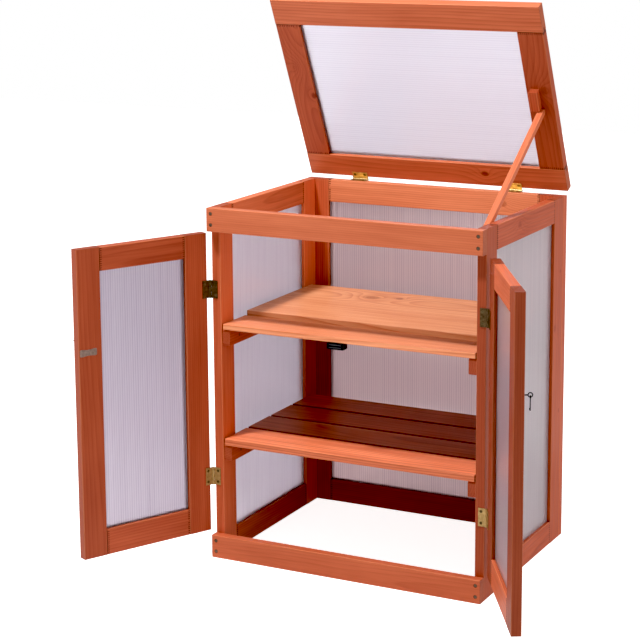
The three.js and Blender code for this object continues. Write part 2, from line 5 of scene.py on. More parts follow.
import bpy
import numpy as np
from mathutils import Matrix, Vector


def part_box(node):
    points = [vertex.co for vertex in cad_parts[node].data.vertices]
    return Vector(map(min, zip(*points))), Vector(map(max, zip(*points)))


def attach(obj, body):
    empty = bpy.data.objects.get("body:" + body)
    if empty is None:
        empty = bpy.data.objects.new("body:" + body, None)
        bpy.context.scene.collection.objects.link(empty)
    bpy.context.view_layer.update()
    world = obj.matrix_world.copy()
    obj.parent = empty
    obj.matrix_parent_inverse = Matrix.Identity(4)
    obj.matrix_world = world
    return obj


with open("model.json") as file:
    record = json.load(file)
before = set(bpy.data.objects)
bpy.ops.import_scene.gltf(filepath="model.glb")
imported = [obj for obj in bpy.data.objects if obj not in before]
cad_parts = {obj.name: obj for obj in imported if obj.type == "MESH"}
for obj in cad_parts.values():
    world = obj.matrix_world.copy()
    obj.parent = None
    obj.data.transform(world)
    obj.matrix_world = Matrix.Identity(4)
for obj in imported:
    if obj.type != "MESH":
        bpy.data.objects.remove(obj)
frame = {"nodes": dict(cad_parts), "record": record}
nodes = frame["nodes"]
joints = {joint["name"]: joint for joint in frame["record"]["behaviour"]["joints"]}
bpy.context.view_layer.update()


# The studio: a white table with a pool of light left of the cabinet, a pale tent that is brightest
# above and to the right, a key lamp high in front and a soft one to the left. The camera stands to
# the right of the front, above the shelves.
class Shade:
    """One output of a material's nodes. An operator on it adds the Math node of that name."""

    def __init__(self, tree, socket):
        self.tree, self.socket = tree, socket

    def node(self, kind, settings, inputs, output=0):
        """A new node: its settings first, then what its sockets hold or are linked to."""
        made = self.tree.nodes.new(kind)
        for key, value in settings.items():
            setattr(made, key, value)
        for key, value in inputs.items():
            if isinstance(value, Shade):
                self.tree.links.new(value.socket, made.inputs[key])
            else:
                made.inputs[key].default_value = value
        return Shade(self.tree, made.outputs[output])

    def math(self, operation, *others):
        """The Math node of this operation on this value and the others."""
        values = dict(enumerate((self,) + others))
        return self.node("ShaderNodeMath", {"operation": operation}, values)

    def __add__(self, other):
        return self.math("ADD", other)

    def __mul__(self, other):
        return self.math("MULTIPLY", other)

    def __sub__(self, other):
        return self.math("SUBTRACT", other)

    def __rsub__(self, other):
        return (self * -1.0).math("ADD", other)

    def __truediv__(self, other):
        return self.math("DIVIDE", other)

    def __pow__(self, other):
        return self.math("POWER", other)

    def __abs__(self):
        return self.math("ABSOLUTE")

    __radd__, __rmul__ = __add__, __mul__

    def rise(self, start, end):
        """0 below start and 1 above end, with a soft step between them."""
        span = {0: self, 1: start, 2: end, 3: 0.0, 4: 1.0}
        return self.node("ShaderNodeMapRange", {"interpolation_type": "SMOOTHSTEP"}, span)

    def held(self):
        """The same value kept between 0 and 1."""
        return self.math("MAXIMUM", 0.0).math("MINIMUM", 1.0)

    def vector(self, y, z):
        """A vector whose x is this value."""
        return self.node("ShaderNodeCombineXYZ", {}, {0: self, 1: y, 2: z})

    def dot(self, direction):
        """How far this vector reaches along a direction."""
        inputs = {0: self, 1: tuple(direction)}
        return self.node("ShaderNodeVectorMath", {"operation": "DOT_PRODUCT"}, inputs, 1)

    def distance(self, point):
        """How far this place is from a point."""
        inputs = {0: self, 1: point}
        return self.node("ShaderNodeVectorMath", {"operation": "DISTANCE"}, inputs, 1)

    def noise(self, scale, detail=2.0, roughness=0.5):
        """Noise at this place, about 0.5 on average."""
        inputs = {"Vector": self, "Scale": scale, "Detail": detail, "Roughness": roughness}
        return self.node("ShaderNodeTexNoise", {"noise_dimensions": "3D"}, inputs)

    def blend(self, first, second):
        """The colour first where this is 0 and second where it is 1."""
        inputs = {0: self, 6: first, 7: second}
        return self.node("ShaderNodeMix", {"data_type": "RGBA"}, inputs, 2)

    def bump(self, strength, distance):
        """The surface's normal, tilted by this as a height."""
        inputs = {"Strength": strength, "Distance": distance, "Height": self}
        return self.node("ShaderNodeBump", {}, inputs)


def material(name):
    """A new material, its place on the object, and a function that fills the shader's sockets."""
    made = bpy.data.materials.new(name)
    made.use_nodes = True
    tree = made.node_tree
    shader = tree.nodes["Principled BSDF"]
    place = Shade(tree, shader.outputs[0]).node("ShaderNodeTexCoord", {}, {}, "Object")

    def fill(**sockets):
        for key, value in sockets.items():
            socket = shader.inputs[key.replace("_", " ")]
            if isinstance(value, Shade):
                tree.links.new(value.socket, socket)
            else:
                socket.default_value = value

    return made, place, fill


def dress(piece, made):
    """Gives a piece this material and no other."""
    piece.data.materials.clear()
    piece.data.materials.append(made)


def surface(name, points, faces):
    """A new object of these points and faces, at the origin."""
    shape = bpy.data.meshes.new(name)
    shape.from_pydata(np.reshape(points, (-1, 3)).tolist(), [], faces)
    piece = bpy.data.objects.new(name, shape)
    bpy.context.collection.objects.link(piece)
    return piece


def grey(value):
    return (value, value, value, 1)


def light_path(start, kind):
    """What the Light Path node says of the ray that arrives."""
    return start.node("ShaderNodeLightPath", {}, {}, kind)


def seen_through(start):
    """1 on a ray that has left the camera and gone through a sheet, and has lit nothing yet."""
    bounces = light_path(start, "Diffuse Depth").held()
    return light_path(start, "Is Transmission Ray") * (1.0 - bounces)


TABLE_SIZE = 14.0
TABLE_WHITE = grey(0.72)
TABLE_SHEEN = grey(0.75)
# The table's glow: on the object, in the camera, and through the sheets outside the pool of light
# and inside it.
TABLE_GLOW = 0.10
TABLE_SHOWN = 0.90
TABLE_THROUGH = 1.28
POOL_THROUGH = 1.75
POOL_MIDDLE = (-0.9, 0.45, 0.0)
POOL_EVEN_RADIUS = 0.4
POOL_END_RADIUS = 1.1
corners = np.array([(-1, -1, 0), (1, -1, 0), (1, 1, 0), (-1, 1, 0)]) * TABLE_SIZE / 2
studio_floor = surface("studio_floor", corners, [(0, 1, 2, 3)])
floor_paint, place, fill = material("studio_floor")
outside_pool = place.distance(POOL_MIDDLE).rise(POOL_EVEN_RADIUS, POOL_END_RADIUS)
lit = outside_pool.blend(grey(POOL_THROUGH), grey(TABLE_THROUGH))
seen = light_path(place, "Is Camera Ray")
glow = seen_through(place).blend(grey(TABLE_GLOW), lit)
fill(
    Base_Color=place.noise(3.0).blend(TABLE_WHITE, TABLE_SHEEN),
    Roughness=0.8,
    Emission_Color=seen.blend(glow, grey(TABLE_SHOWN)),
    Emission_Strength=1.0,
)
dress(studio_floor, floor_paint)

# The tent's brightness: everywhere, what is added on the right and behind, and through the
# sheets. Its right part starts where the share of the way to its brightest place is above 0.3.
TENT_EVEN = 0.05
TENT_RIGHT = 1.50
TENT_BACK = 0.40
TENT_THROUGH = 2.45
TENT_BRIGHTEST = (0.80, -0.10, 0.59)
TENT_START = 0.3
world = bpy.data.worlds.new("studio")
world.use_nodes = True
sky = world.node_tree.nodes["Background"]
sky_start = Shade(world.node_tree, sky.outputs[0])
seen = light_path(sky_start, "Is Camera Ray")
way = sky_start.node("ShaderNodeTexCoord", {}, {}, "Generated")
rightwards = way.dot(TENT_BRIGHTEST).rise(TENT_START, 1.0)
backwards = way.dot((0.0, 1.0, 0.0)).rise(0.0, 1.0)
tent = rightwards * TENT_RIGHT + backwards * TENT_BACK + TENT_EVEN
tent = seen_through(sky_start) * (TENT_THROUGH - tent) + tent
sky.inputs[0].default_value = (1.0, 1.0, 1.0, 1)
world.node_tree.links.new((seen * (1.0 - tent) + tent).socket, sky.inputs[1])
bpy.context.scene.world = world

OBJECT_MIDDLE = (0.0, 0.2, 0.45)


def lamp(name, position, size, watts):
    """A round lamp that looks at the middle of the object."""
    light = bpy.data.lights.new(name, "AREA")
    light.shape, light.size, light.energy = "DISK", size, watts
    holder = bpy.data.objects.new(name, light)
    bpy.context.collection.objects.link(holder)
    way = np.subtract(OBJECT_MIDDLE, position)
    holder.location = position
    tilt = math.atan2(math.hypot(way[0], way[1]), -way[2])
    holder.rotation_euler = (tilt, 0, math.atan2(-way[0], way[1]))


lamp("key_lamp", position=(-0.75, -1.00, 3.3), size=0.35, watts=100)
lamp("left_lamp", position=(-3.4, -1.8, 1.5), size=1.8, watts=42)

camera_data = bpy.data.cameras.new("camera")
camera_data.sensor_width = 36.0
camera_data.lens = 106.09
camera_data.shift_x, camera_data.shift_y = -0.03125, -0.140625
camera = bpy.data.objects.new("camera", camera_data)
bpy.context.collection.objects.link(camera)
camera.location = (1.6768, -3.3247, 1.4187)
camera.rotation_euler = (1.389449, 0.004711, 0.467255)
bpy.context.scene.camera = camera
# What is darker than this prints as black.
PRINT_BLACK = 0.025
view = bpy.context.scene.view_settings
view.view_transform = "Standard"
view.use_curve_mapping = True
view.curve_mapping.black_level = (PRINT_BLACK, PRINT_BLACK, PRINT_BLACK)
view.curve_mapping.update()


# The side frames: two long stiles each, with two rails tongued between them. The boards are fir,
# planed, eased on the edges and dipped in an orange-brown stain. Each board is cut from a log
# whose yearly rings show as lines along its faces and as arcs on its ends.
STAIN_PALE = (0.61, 0.134, 0.060, 1)
STAIN_DARK = (0.335, 0.054, 0.024, 1)
THIN_PALE = (0.80, 0.270, 0.135, 1)
THIN_DARK = (0.50, 0.120, 0.052, 1)
STAIN_WORN = (0.78, 0.26, 0.12, 1)
POOLED_STAIN_AND_SHADE = (0.10, 0.016, 0.006, 1)
KNOT_COLOUR = (0.20, 0.022, 0.007, 1)
TONGUE = 0.0077
TICK_PITCH = 0.0044
HOLE_RADIUS = 0.0040
HOLE_SOFTNESS = 0.0003
FACE_DEPTH = 0.0006
# How far from a board's edge, end or shoulder each of these starts, and where it is full.
WORN_EDGE = (0.0022, 0.0004)
# The next is painted shade: how far the dark of the gaps between slats reaches on their edges.
GAP_SHADE_EDGE = (0.0016, 0.0006)
DARK_END = (0.0010, 0.0002)
SEAM = (0.0011, 0.0004)
TICKS = (0.0060, 0.0050)
wood_seed = np.random.default_rng(7)


def board_axes(piece):
    """A board's own directions. Its depth is the way its largest face looks, its width the way
    the largest of the faces square to that looks, and its length is square to both."""
    faces = piece.data.polygons
    normals = np.empty(3 * len(faces))
    areas = np.empty(len(faces))
    faces.foreach_get("normal", normals)
    faces.foreach_get("area", areas)
    normals = normals.reshape(-1, 3)
    deep = normals[areas.argmax()]
    square = np.abs(normals @ deep) < 0.05
    across = normals[np.where(square, areas, 0).argmax()]
    axes = np.array([np.cross(across, deep), across, deep])
    return axes * np.sign(axes[np.arange(3), np.abs(axes).argmax(1)])[:, None]


def own_frame(piece):
    """A piece's own directions, and its middle and half size along each of them."""
    axes = board_axes(piece)
    points = np.empty(3 * len(piece.data.vertices))
    piece.data.vertices.foreach_get("co", points)
    reach = points.reshape(-1, 3) @ axes.T
    middle = (reach.max(0) + reach.min(0)) / 2
    half = (reach.max(0) - reach.min(0)) / 2
    return axes, middle.tolist(), half.tolist()


def near(place, limit, start, full):
    """1 within full of the limit on either side and beyond it, and 0 further in than start."""
    return abs(place).rise(limit - start, limit - full)


def toned(thick, thin, thinness, tone):
    """The colour at thinness on the line from thick stain, at 0, through thin stain, at 1, and on
    towards bare wood, made lighter or darker by tone."""
    mixed = (np.array(thick) * (1 - thinness) + np.array(thin) * thinness) * tone
    return (*mixed[:3].tolist(), 1)


def draw_log():
    """Where a board lay in its log: its pith, how the pith leans, and the shifts of its noises."""
    away = wood_seed.uniform(0.05, 0.13)
    turn = wood_seed.uniform(0.2, 1.3) * wood_seed.choice((-1, 1))
    pith = (away * math.sin(turn), -away * math.cos(turn))
    lean = wood_seed.uniform(-0.02, 0.02, 2).tolist()
    shift = wood_seed.uniform(0, 40, 3).tolist()
    return pith, lean, shift


def late_wood(spot, log, ring, knots):
    """How late in its year the wood at a spot grew, and each knot's heart. Rings are the distance
    from a leaning pith, bent by slow noise, in steps of one year. A year darkens slowly and ends
    sharply. A knot is (along, across, radius, darkness). It pushes the rings outwards, less and
    less away from its middle, and its heart has a ragged edge."""
    along, across, deep = spot
    pith, lean, shift = log
    slow = (along * 1.8 + shift[0]).vector(across * 7 + shift[1], deep * 7 + shift[2])
    side = across - pith[0] - along * lean[0]
    back = deep - pith[1] - along * lean[1]
    radius = (side * side + back * back) ** 0.5 + (slow.noise(1.0, 1.0) - 0.5) * 0.022
    hearts = []
    for knot_along, knot_across, knot_radius, darkness in knots:
        stretched = (along - knot_along) * 0.75
        offset = across - knot_across
        reached = (stretched * stretched + offset * offset) ** 0.5
        swell = (reached * (-1 / (2.0 * knot_radius))).math("EXPONENT")
        radius = radius + swell * (2.4 * knot_radius)
        ragged = reached + (slow.noise(9.0, 2.0) - 0.5) * knot_radius
        hearts.append((1 - ragged.rise(0.5 * knot_radius, 1.2 * knot_radius)) * darkness)
    year = (radius / ring).math("FRACT")
    return (year ** 2.5) * (1 - year.rise(0.9, 1.0)), hearts


def pooled_stain_and_shade(spot, half, shift, tongued, gap_shade, holes):
    """Where the stain has pooled: at a board's ends, or in the seam at a tongue's shoulder and in
    the saw's small ticks beside it, and in holes, each (along, across). Where asked for, painted
    shade darkens the long edges too, for the gaps between slats."""
    along, across, deep = spot
    if tongued:
        shoulder = half[0] - TONGUE
        wave = (across * (2 * math.pi / TICK_PITCH) + shift[0]).math("COSINE")
        missed = (along * 30).vector(across * 160 + shift[1], deep * 30).noise(1.0, 1.0)
        ticks = wave.rise(-0.1, 0.4) * near(along, shoulder, *TICKS) * missed.rise(0.32, 0.42)
        pooled_and_shaded = (near(along, shoulder, *SEAM) * 0.9).math("MAXIMUM", ticks * 0.85)
    else:
        pooled_and_shaded = near(along, half[0], *DARK_END) * 0.35
    # Painted shade: the long edges darkened for the dark gaps between slats.
    if gap_shade:
        pooled_and_shaded = pooled_and_shaded.math("MAXIMUM", near(across, half[1], *GAP_SHADE_EDGE) * 0.8)
    for hole_along, hole_across in holes:
        reached = ((along - hole_along) ** 2.0 + (across - hole_across) ** 2.0) ** 0.5
        inside = 1 - reached.rise(HOLE_RADIUS - HOLE_SOFTNESS, HOLE_RADIUS + HOLE_SOFTNESS)
        pooled_and_shaded = pooled_and_shaded.math("MAXIMUM", inside)
    return pooled_and_shaded


def stain(name, tone=1.0, thinness=0.0, figure=1.0, ring=0.0045, knots=(), tongued=False,
          holes=(), gap_shade=False, painted_light_face=None):
    """A board's stain: dark in late wood, in fibres, in streaks and in clouds, worn on the long
    edges, dark where it has pooled and at knots, and with painted shade on slats' long edges in
    the gaps between them. Figure is how much the rings and streaks show. The face that looks
    right, back or up can take its own thinness and tone, given as a pair: painted light and
    shade, that face lighter or darker than the rest of the board as the light falls on it."""
    axes, middle, half = own_frame(nodes[name])
    log = draw_log()
    shift = log[2]
    made, place, fill = material(f"stained_{name}")
    spot = [place.dot(axes[i]) - middle[i] for i in range(3)]
    along, across, deep = spot
    late, hearts = late_wood(spot, log, ring, knots)
    fibre = (along * 9 + shift[2]).vector(across * 300, deep * 300).noise(1.0, 2.0, 0.6)
    streak = (along * 3 + shift[0]).vector(across * 85, deep * 85).noise(1.0, 2.0, 0.6)
    cloudy = (along * 5 + shift[1]).vector(across * 20, deep * 20).noise(1.0, 3.0, 0.55)
    dark = late * (0.45 * figure) + (fibre - 0.5) * 0.5 + (streak - 0.5) * (0.7 * figure)
    dark = (dark + (cloudy - 0.5) * 0.6 + 0.28).held()

    def shaded(thinness, tone):
        pale_colour = toned(STAIN_PALE, THIN_PALE, thinness, tone)
        return dark.blend(pale_colour, toned(STAIN_DARK, THIN_DARK, thinness, tone))

    colour = shaded(thinness, tone)
    # Painted light and shade: the face that looks right, back or up takes its own colour, lighter
    # or darker as the light falls on it.
    if painted_light_face:
        front = deep.rise(half[2] - FACE_DEPTH, half[2] - FACE_DEPTH / 3)
        colour = front.blend(colour, shaded(*painted_light_face))
    worn = near(across, half[1], *WORN_EDGE) * near(deep, half[2], *WORN_EDGE) * (cloudy * 0.9)
    colour = worn.blend(colour, toned(STAIN_WORN, STAIN_WORN, 0, tone))
    # Pooled stain, with painted shade in the gaps between slats where asked for.
    pooled_and_shaded = pooled_stain_and_shade(spot, half, shift, tongued, gap_shade, holes)
    colour = pooled_and_shaded.blend(colour, POOLED_STAIN_AND_SHADE)
    for heart in hearts:
        colour = (heart * (0.6 + fibre * 0.6)).blend(colour, KNOT_COLOUR)
    fill(
        Base_Color=colour,
        Roughness=0.46 - late * 0.06 + (fibre - 0.5) * 0.25,
        Specular_IOR_Level=0.25,
        Normal=(late * 0.5 + fibre * 0.5).bump(0.25, 0.0004),
    )
    dress(nodes[name], made)


# Painted light: this stile's inner face, which looks right, is paler and brighter than its other
# faces.
stain("left_side_front_stile", tone=0.93, thinness=0.05, figure=0.7, painted_light_face=(0.28, 1.16))
stain("left_side_rear_stile", tone=1.4, thinness=0.4, figure=0.7)
stain("left_side_bottom_rail", tongued=True)
stain("left_side_top_rail", tone=1.1, thinness=0.5, tongued=True)
stain("right_side_front_stile", tone=0.72, figure=0.7)
stain("right_side_rear_stile", tone=0.83, figure=0.7, knots=[
    (0.22, 0.012, 0.004, 0.6), (0.10, -0.016, 0.007, 0.5), (-0.09, 0.014, 0.004, 0.5)])
stain("right_side_bottom_rail", tone=0.86, tongued=True)
stain("right_side_top_rail", tone=0.86, tongued=True, knots=[(-0.04, 0.006, 0.007, 0.5)])


# The glazing: twin-wall polycarbonate held in the boards' grooves. Its webs show as fine lines
# along the flutes, its skins sag a little between them, and it scatters the light behind it.
FLUTE = 0.0054
SKIN = 0.0007
SHEET_CLEAR = (0.96, 0.91, 0.98, 1)
SHEET_WEB = (0.62, 0.56, 0.66, 1)
# Each sheet's tint, which is painted light and reflection: one sheet made darker, lighter, warmer
# or cooler for the light and the wood it shows; then how much of it is clear, and how strongly its
# lines show.
SHEETS = {
    "left_door_sheet": ((0.71, 0.70, 0.70), 0.92, 1.0),
    "right_door_sheet": ((1.04, 1.02, 0.98), 0.92, 1.0),
    "back_sheet": ((0.70, 0.62, 0.58), 0.92, 1.0),
    "left_side_sheet": ((1.04, 1.06, 1.02), 0.92, 0.8),
    "right_side_sheet": ((1.04, 0.98, 0.93), 0.80, 1.0),
    "lid_sheet": ((0.87, 0.89, 0.875), 0.92, 0.4),
}


def glaze(name, painted_light_tint, clear, strength):
    """A web is dark where the cosine of the place across the sheet, one wave to a flute, is
    highest. Noise drawn out along the flutes makes one web fainter than the next."""
    axes, middle, half = own_frame(nodes[name])
    made, place, fill = material(f"glazed_{name}")
    along, across, deep = (place.dot(axes[i]) - middle[i] for i in range(3))
    flutes = math.floor((2 * half[1] - SKIN) / FLUTE)
    wave = (across * (2 * math.pi / FLUTE) + math.pi * (flutes % 2)).math("COSINE")
    web = (wave * 0.5 + 0.5) ** 2.0
    uneven = (across * 190).vector(along * 0.8, 0.0).noise(1.0, 1.0)
    line = ((web * (0.35 + uneven * 0.9) + (uneven - 0.5) * 0.5) * strength).held()
    # Painted light: each sheet's colours scaled by its own tint for the light and reflections it
    # gets.
    flat, ribbed = (tuple(np.multiply(colour, (*painted_light_tint, 1))) for colour in (SHEET_CLEAR, SHEET_WEB))
    fill(
        Base_Color=line.blend(flat, ribbed),
        Roughness=0.3,
        Transmission_Weight=clear,
        IOR=1.45,
        Coat_Weight=0.4,
        Coat_Roughness=0.15,
        Normal=web.bump(0.25, 0.0004),
    )
    dress(nodes[name], made)


for name, (painted_light_tint, clear, strength) in SHEETS.items():
    glaze(name, painted_light_tint, clear, strength)


# The back frame: stiles and rails as at the sides, screwed into the side frames' rear edges with
# six countersunk screws.
stain("back_left_stile", tone=0.92, thinness=0.2)
stain("back_right_stile", tone=0.95)
stain("back_bottom_rail", tone=0.95, tongued=True)
stain("back_top_rail", tone=0.94, thinness=1.15, tongued=True, knots=[(0.17, 0.0, 0.007, 0.4)])

SCREW_STEEL = (0.26, 0.20, 0.15, 1)
SCREW_TARNISH = (0.09, 0.065, 0.045, 1)
CROSS_ARM = 0.22
# A screw's head and shank radius and its length.
FRAME_SCREW = (0.0033, 0.0016, 0.016)
FLAT_DOME = 0.0002
SEAT_DEPTH = 0.0003
BACK_SCREW_X = 0.3
BACK_SCREW_HEIGHTS = (0.06, 0.38, 0.70)


def metal(name, bright, dull, roughness):
    """Bright metal clouded by dull patches and fine specks."""
    made, place, fill = material(name)
    cloud = place.noise(160.0, 3.0, 0.6)
    speck = place.noise(900.0, 2.0)
    fill(
        Base_Color=((cloud - 0.5) * 1.4 + speck * 0.3 + 0.2).held().blend(bright, dull),
        Metallic=1.0,
        Roughness=(cloud - 0.5) * 0.4 + speck * 0.1 + roughness,
        Normal=speck.bump(0.08, 0.0001),
    )
    return made


def screw_shape(head, shank, depth, dome, recess):
    """Rings of points round the axis from the tip to the bottom of the cross recess, each point
    its ring's radius times the cosine and the sine of its angle. The recess is a plus sign: at
    each angle its edge lies where the nearer arm ends."""
    arm_tip = math.atan2(CROSS_ARM, 1.0)
    quarter = [0, arm_tip, 0.5, math.pi / 4, math.pi / 2 - 0.5, math.pi / 2 - arm_tip]
    angle = np.add.outer(np.arange(4) * math.pi / 2, quarter).ravel()
    bent = np.abs((angle + math.pi / 4) % (math.pi / 2) - math.pi / 4)
    arm_side = CROSS_ARM * recess / np.maximum(np.sin(bent), 1e-9)
    cross = np.minimum(recess / np.cos(bent), arm_side)
    rings = [
        (np.full_like(angle, shank * 0.6), -depth),
        (np.full_like(angle, shank), -depth + shank * 0.5),
        (np.full_like(angle, shank), -0.6 * (head - shank) - 0.0001),
        (np.full_like(angle, head), 0.0),
        (np.full_like(angle, head * 0.9), dome * 0.6),
        (np.maximum(cross, head * 0.55), dome),
        (cross, dome),
        (cross * 0.8, dome - recess * 0.55),
    ]
    x = np.array([radius * np.cos(angle) for radius, _ in rings])
    y = np.array([radius * np.sin(angle) for radius, _ in rings])
    z = np.array([np.full_like(angle, height) for _, height in rings])
    return np.stack([x, y, z], -1)


def ring_faces(rows, columns):
    """Quads between closed rings, and one face over the first ring and one over the last."""
    row, column = np.mgrid[0 : rows - 1, 0:columns]
    after = (column + 1) % columns
    below, above = row * columns, (row + 1) * columns
    quads = np.stack([below + column, below + after, above + after, above + column], -1)
    quads = quads.reshape(-1, 4).tolist()
    first = list(range(columns))[::-1]
    last = list(range((rows - 1) * columns, rows * columns))
    return quads, [first, last]


def screws(name, places, outwards, sizes, made, body, dome=FLAT_DOME):
    """One screw at each place. A point's x and y are carried by two directions square to the way
    outwards, turned a little further from each screw to the next, and its z by that way."""
    head, shank, depth = sizes
    shape = screw_shape(head, shank, depth, dome, min(0.55 * head, shank * 0.95))
    places = np.asarray(places, float)
    outwards = np.asarray(outwards, float)
    helper = np.where(np.abs(outwards[:, 2:]) < 0.9, (0, 0, 1.0), (1.0, 0, 0))
    first = np.cross(helper, outwards)
    first /= np.linalg.norm(first, axis=1, keepdims=True)
    second = np.cross(outwards, first)
    turns = np.arange(len(places)) * 0.7
    cos, sin = np.cos(turns)[:, None], np.sin(turns)[:, None]
    first, second = first * cos + second * sin, second * cos - first * sin
    basis = np.stack([first, second, outwards], 1)
    points = np.einsum("rck,nkj->nrcj", shape, basis) + places[:, None, None, :]
    quads, caps = ring_faces(*shape.shape[:2])
    count = shape.shape[0] * shape.shape[1]
    faces = []
    for i in range(len(places)):
        faces += [[corner + i * count for corner in face] for face in quads + caps]
    piece = surface(name, points, faces)
    dress(piece, made)
    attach(piece, body)


wood_screw_metal = metal("wood_screw_metal", SCREW_STEEL, SCREW_TARNISH, 0.45)
back_face = float(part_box("back_left_stile")[1][1]) - SEAT_DEPTH
back_places = [
    (x, back_face, z)
    for x in (-BACK_SCREW_X, BACK_SCREW_X)
    for z in BACK_SCREW_HEIGHTS
]
screws("back_screws", back_places, [(0, 1, 0)] * 6, FRAME_SCREW, wood_screw_metal,
       "cabinet")


# The front rails: two plain boards across the fronts of the side frames, each held by two
# countersunk screws at either end.
RAIL_TOPS = (0.05, 0.76)
RAIL_HEIGHT = 0.05
RAIL_SCREW_X = 0.3
RAIL_SCREW_DROPS = (0.012, 0.0355)
rail_ends = (-RAIL_SCREW_X, RAIL_SCREW_X)
holes = [(x, RAIL_HEIGHT / 2 - drop) for x in rail_ends for drop in RAIL_SCREW_DROPS]
stain("front_top_rail", tone=0.87, thinness=0.5, figure=0.6, holes=holes)
stain("front_bottom_rail", tone=0.93, thinness=0.25, figure=0.6, holes=holes)
front_face = float(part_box("front_top_rail")[0][1]) + SEAT_DEPTH
front_places = [
    (x, front_face, top - drop)
    for x in rail_ends
    for top in RAIL_TOPS
    for drop in RAIL_SCREW_DROPS
]
screws("front_screws", front_places, [(0, -1, 0)] * 8, FRAME_SCREW, wood_screw_metal,
       "cabinet")


# The shelves: planed boards with a plain figure, resting on cleats. The cleats are screwed to the
# side frames. The upper shelf has a slat in front and a thicker, wider board behind it.
# Painted light and shade on the front slats' tops: the lower one paler and brighter, the upper one
# darker, than their edges.
stain("lower_slat_1", tone=1.04, thinness=0.6, figure=2.2, ring=0.0055, painted_light_face=(0.8, 1.25))
# Painted shade on slats 2 to 4: their long edges darkened for the gaps between them.
for number, tone in ((2, 0.78), (3, 0.95), (4, 1.1)):
    stain(f"lower_slat_{number}", tone, thinness=1.0, figure=1.6, ring=0.0055, gap_shade=True)
stain("upper_front_slat", tone=0.92, thinness=2.2, figure=1.8, ring=0.0055, painted_light_face=(1.6, 0.90))
stain("upper_rear_board", tone=0.64, thinness=3.2, figure=1.8, ring=0.006,
      knots=[(-0.10, 0.080, 0.016, 0.5), (-0.04, 0.095, 0.008, 0.7)])
CLEAT_SCREW = (0.0031, 0.0015, 0.022)
CLEAT_SCREW_SHARES = (0.1, 0.5, 0.9)
cleat_places, cleat_ways = [], []
for level in ("lower", "upper"):
    for side, way in (("left", 1), ("right", -1)):
        name = f"{level}_cleat_{side}"
        stain(name)
        low, high = (np.array(corner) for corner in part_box(name))
        for share in CLEAT_SCREW_SHARES:
            face = high[0] if way > 0 else low[0]
            y = low[1] + share * (high[1] - low[1])
            cleat_places.append((face, y, (low[2] + high[2]) / 2))
            cleat_ways.append((way, 0, 0))
screws("cleat_screws", cleat_places, cleat_ways, CLEAT_SCREW, wood_screw_metal,
       "cabinet")


# The doors: each two stiles, two rails tongued between them and a sheet, made of the same fir as
# the side frames. They hang by butt hinges on the side frames' front stiles.
stain("left_door_hinge_stile", tone=0.8, figure=0.8)
stain("left_door_free_stile", tone=0.69, figure=0.8)
stain("left_door_top_rail", tone=0.75, tongued=True)
stain("left_door_bottom_rail", tone=0.84, tongued=True)
for part in ("hinge_stile", "free_stile"):
    stain(f"right_door_{part}", tone=0.56, figure=0.8)
for part in ("top_rail", "bottom_rail"):
    stain(f"right_door_{part}", thinness=0.2, tongued=True)


# The plug: a turned dowel glued into the top of the right door's free stile, over a screw. Its
# end grain takes up more stain than the board's side.
PLUG_RADIUS = 0.0038
PLUG_PROUD = 0.0003
PLUG_FROM_EDGE = 0.044
PLUG_DEPTH = 0.006
RIGHT_DOOR_EDGE = 0.001
DOOR_TOP = 0.704
DOOR_MIDDLE_Y = -0.0032


def opened(points, joint, turn_only=False):
    """Points of a shut door or lid, turned about its hinge to where it stands at rest. What lies
    along the axis stays, and the rest turns by the cosine and the sine of the angle."""
    axis = np.array(joint["axis"], float)
    pin = np.zeros(3) if turn_only else np.array(joint["pos_m"], float)
    angle = -math.radians(joint["range_deg"][0])
    offset = np.asarray(points, float) - pin
    share = np.outer(offset @ axis, axis)
    turned = (offset - share) * math.cos(angle) + np.cross(axis, offset) * math.sin(angle)
    return pin + share + turned


def turned_rings(profile):
    """Rings round the z axis, each point its ring's radius times the cosine and the sine of its
    angle."""
    angle = np.arange(32) * math.pi / 16
    radius, height = np.array(profile).T[:, :, None]
    return np.stack([radius * np.cos(angle), radius * np.sin(angle), height + 0 * angle], -1)


def shell(name, rings, body, joint):
    """A closed piece from rings of points on the shut door, each end filled, turned with it."""
    quads, caps = ring_faces(*rings.shape[:2])
    piece = surface(name, opened(rings.reshape(-1, 3), joint), quads + caps)
    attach(piece, body)
    return piece


rings = turned_rings([
    (PLUG_RADIUS * 0.9, -PLUG_DEPTH),
    (PLUG_RADIUS, -PLUG_DEPTH * 0.9),
    (PLUG_RADIUS, 0.0),
    (PLUG_RADIUS * 0.93, PLUG_PROUD * 0.8),
    (PLUG_RADIUS * 0.8, PLUG_PROUD),
])
rings = rings + (RIGHT_DOOR_EDGE + PLUG_FROM_EDGE, DOOR_MIDDLE_Y, DOOR_TOP)
nodes["right_door_plug"] = shell(
    "right_door_plug", rings, "right_door", joints["right_door_hinge"])
stain("right_door_plug", tone=0.5, ring=0.0011)


# The butt hinges: folded brass leaves on a pin. The doors' upper pair is darkened, the others
# are bright. Two countersunk screws hold each leaf.
BRASS_BRIGHT = (0.56, 0.38, 0.17, 1)
BRASS_DULL = (0.28, 0.17, 0.07, 1)
BRONZE_BRIGHT = (0.20, 0.135, 0.075, 1)
BRONZE_DULL = (0.035, 0.022, 0.013, 1)
LEAF_SCREW_BRIGHT = (0.20, 0.15, 0.08, 1)
LEAF_SCREW_DULL = (0.07, 0.05, 0.03, 1)
brass = metal("brass_plating", BRASS_BRIGHT, BRASS_DULL, 0.36)
bronze = metal("darkened_brass", BRONZE_BRIGHT, BRONZE_DULL, 0.46)
leaf_steel = metal("leaf_screw_metal", LEAF_SCREW_BRIGHT, LEAF_SCREW_DULL, 0.4)
for name in nodes:
    if name.endswith("_leaf"):
        dress(nodes[name], bronze if "upper" in name else brass)

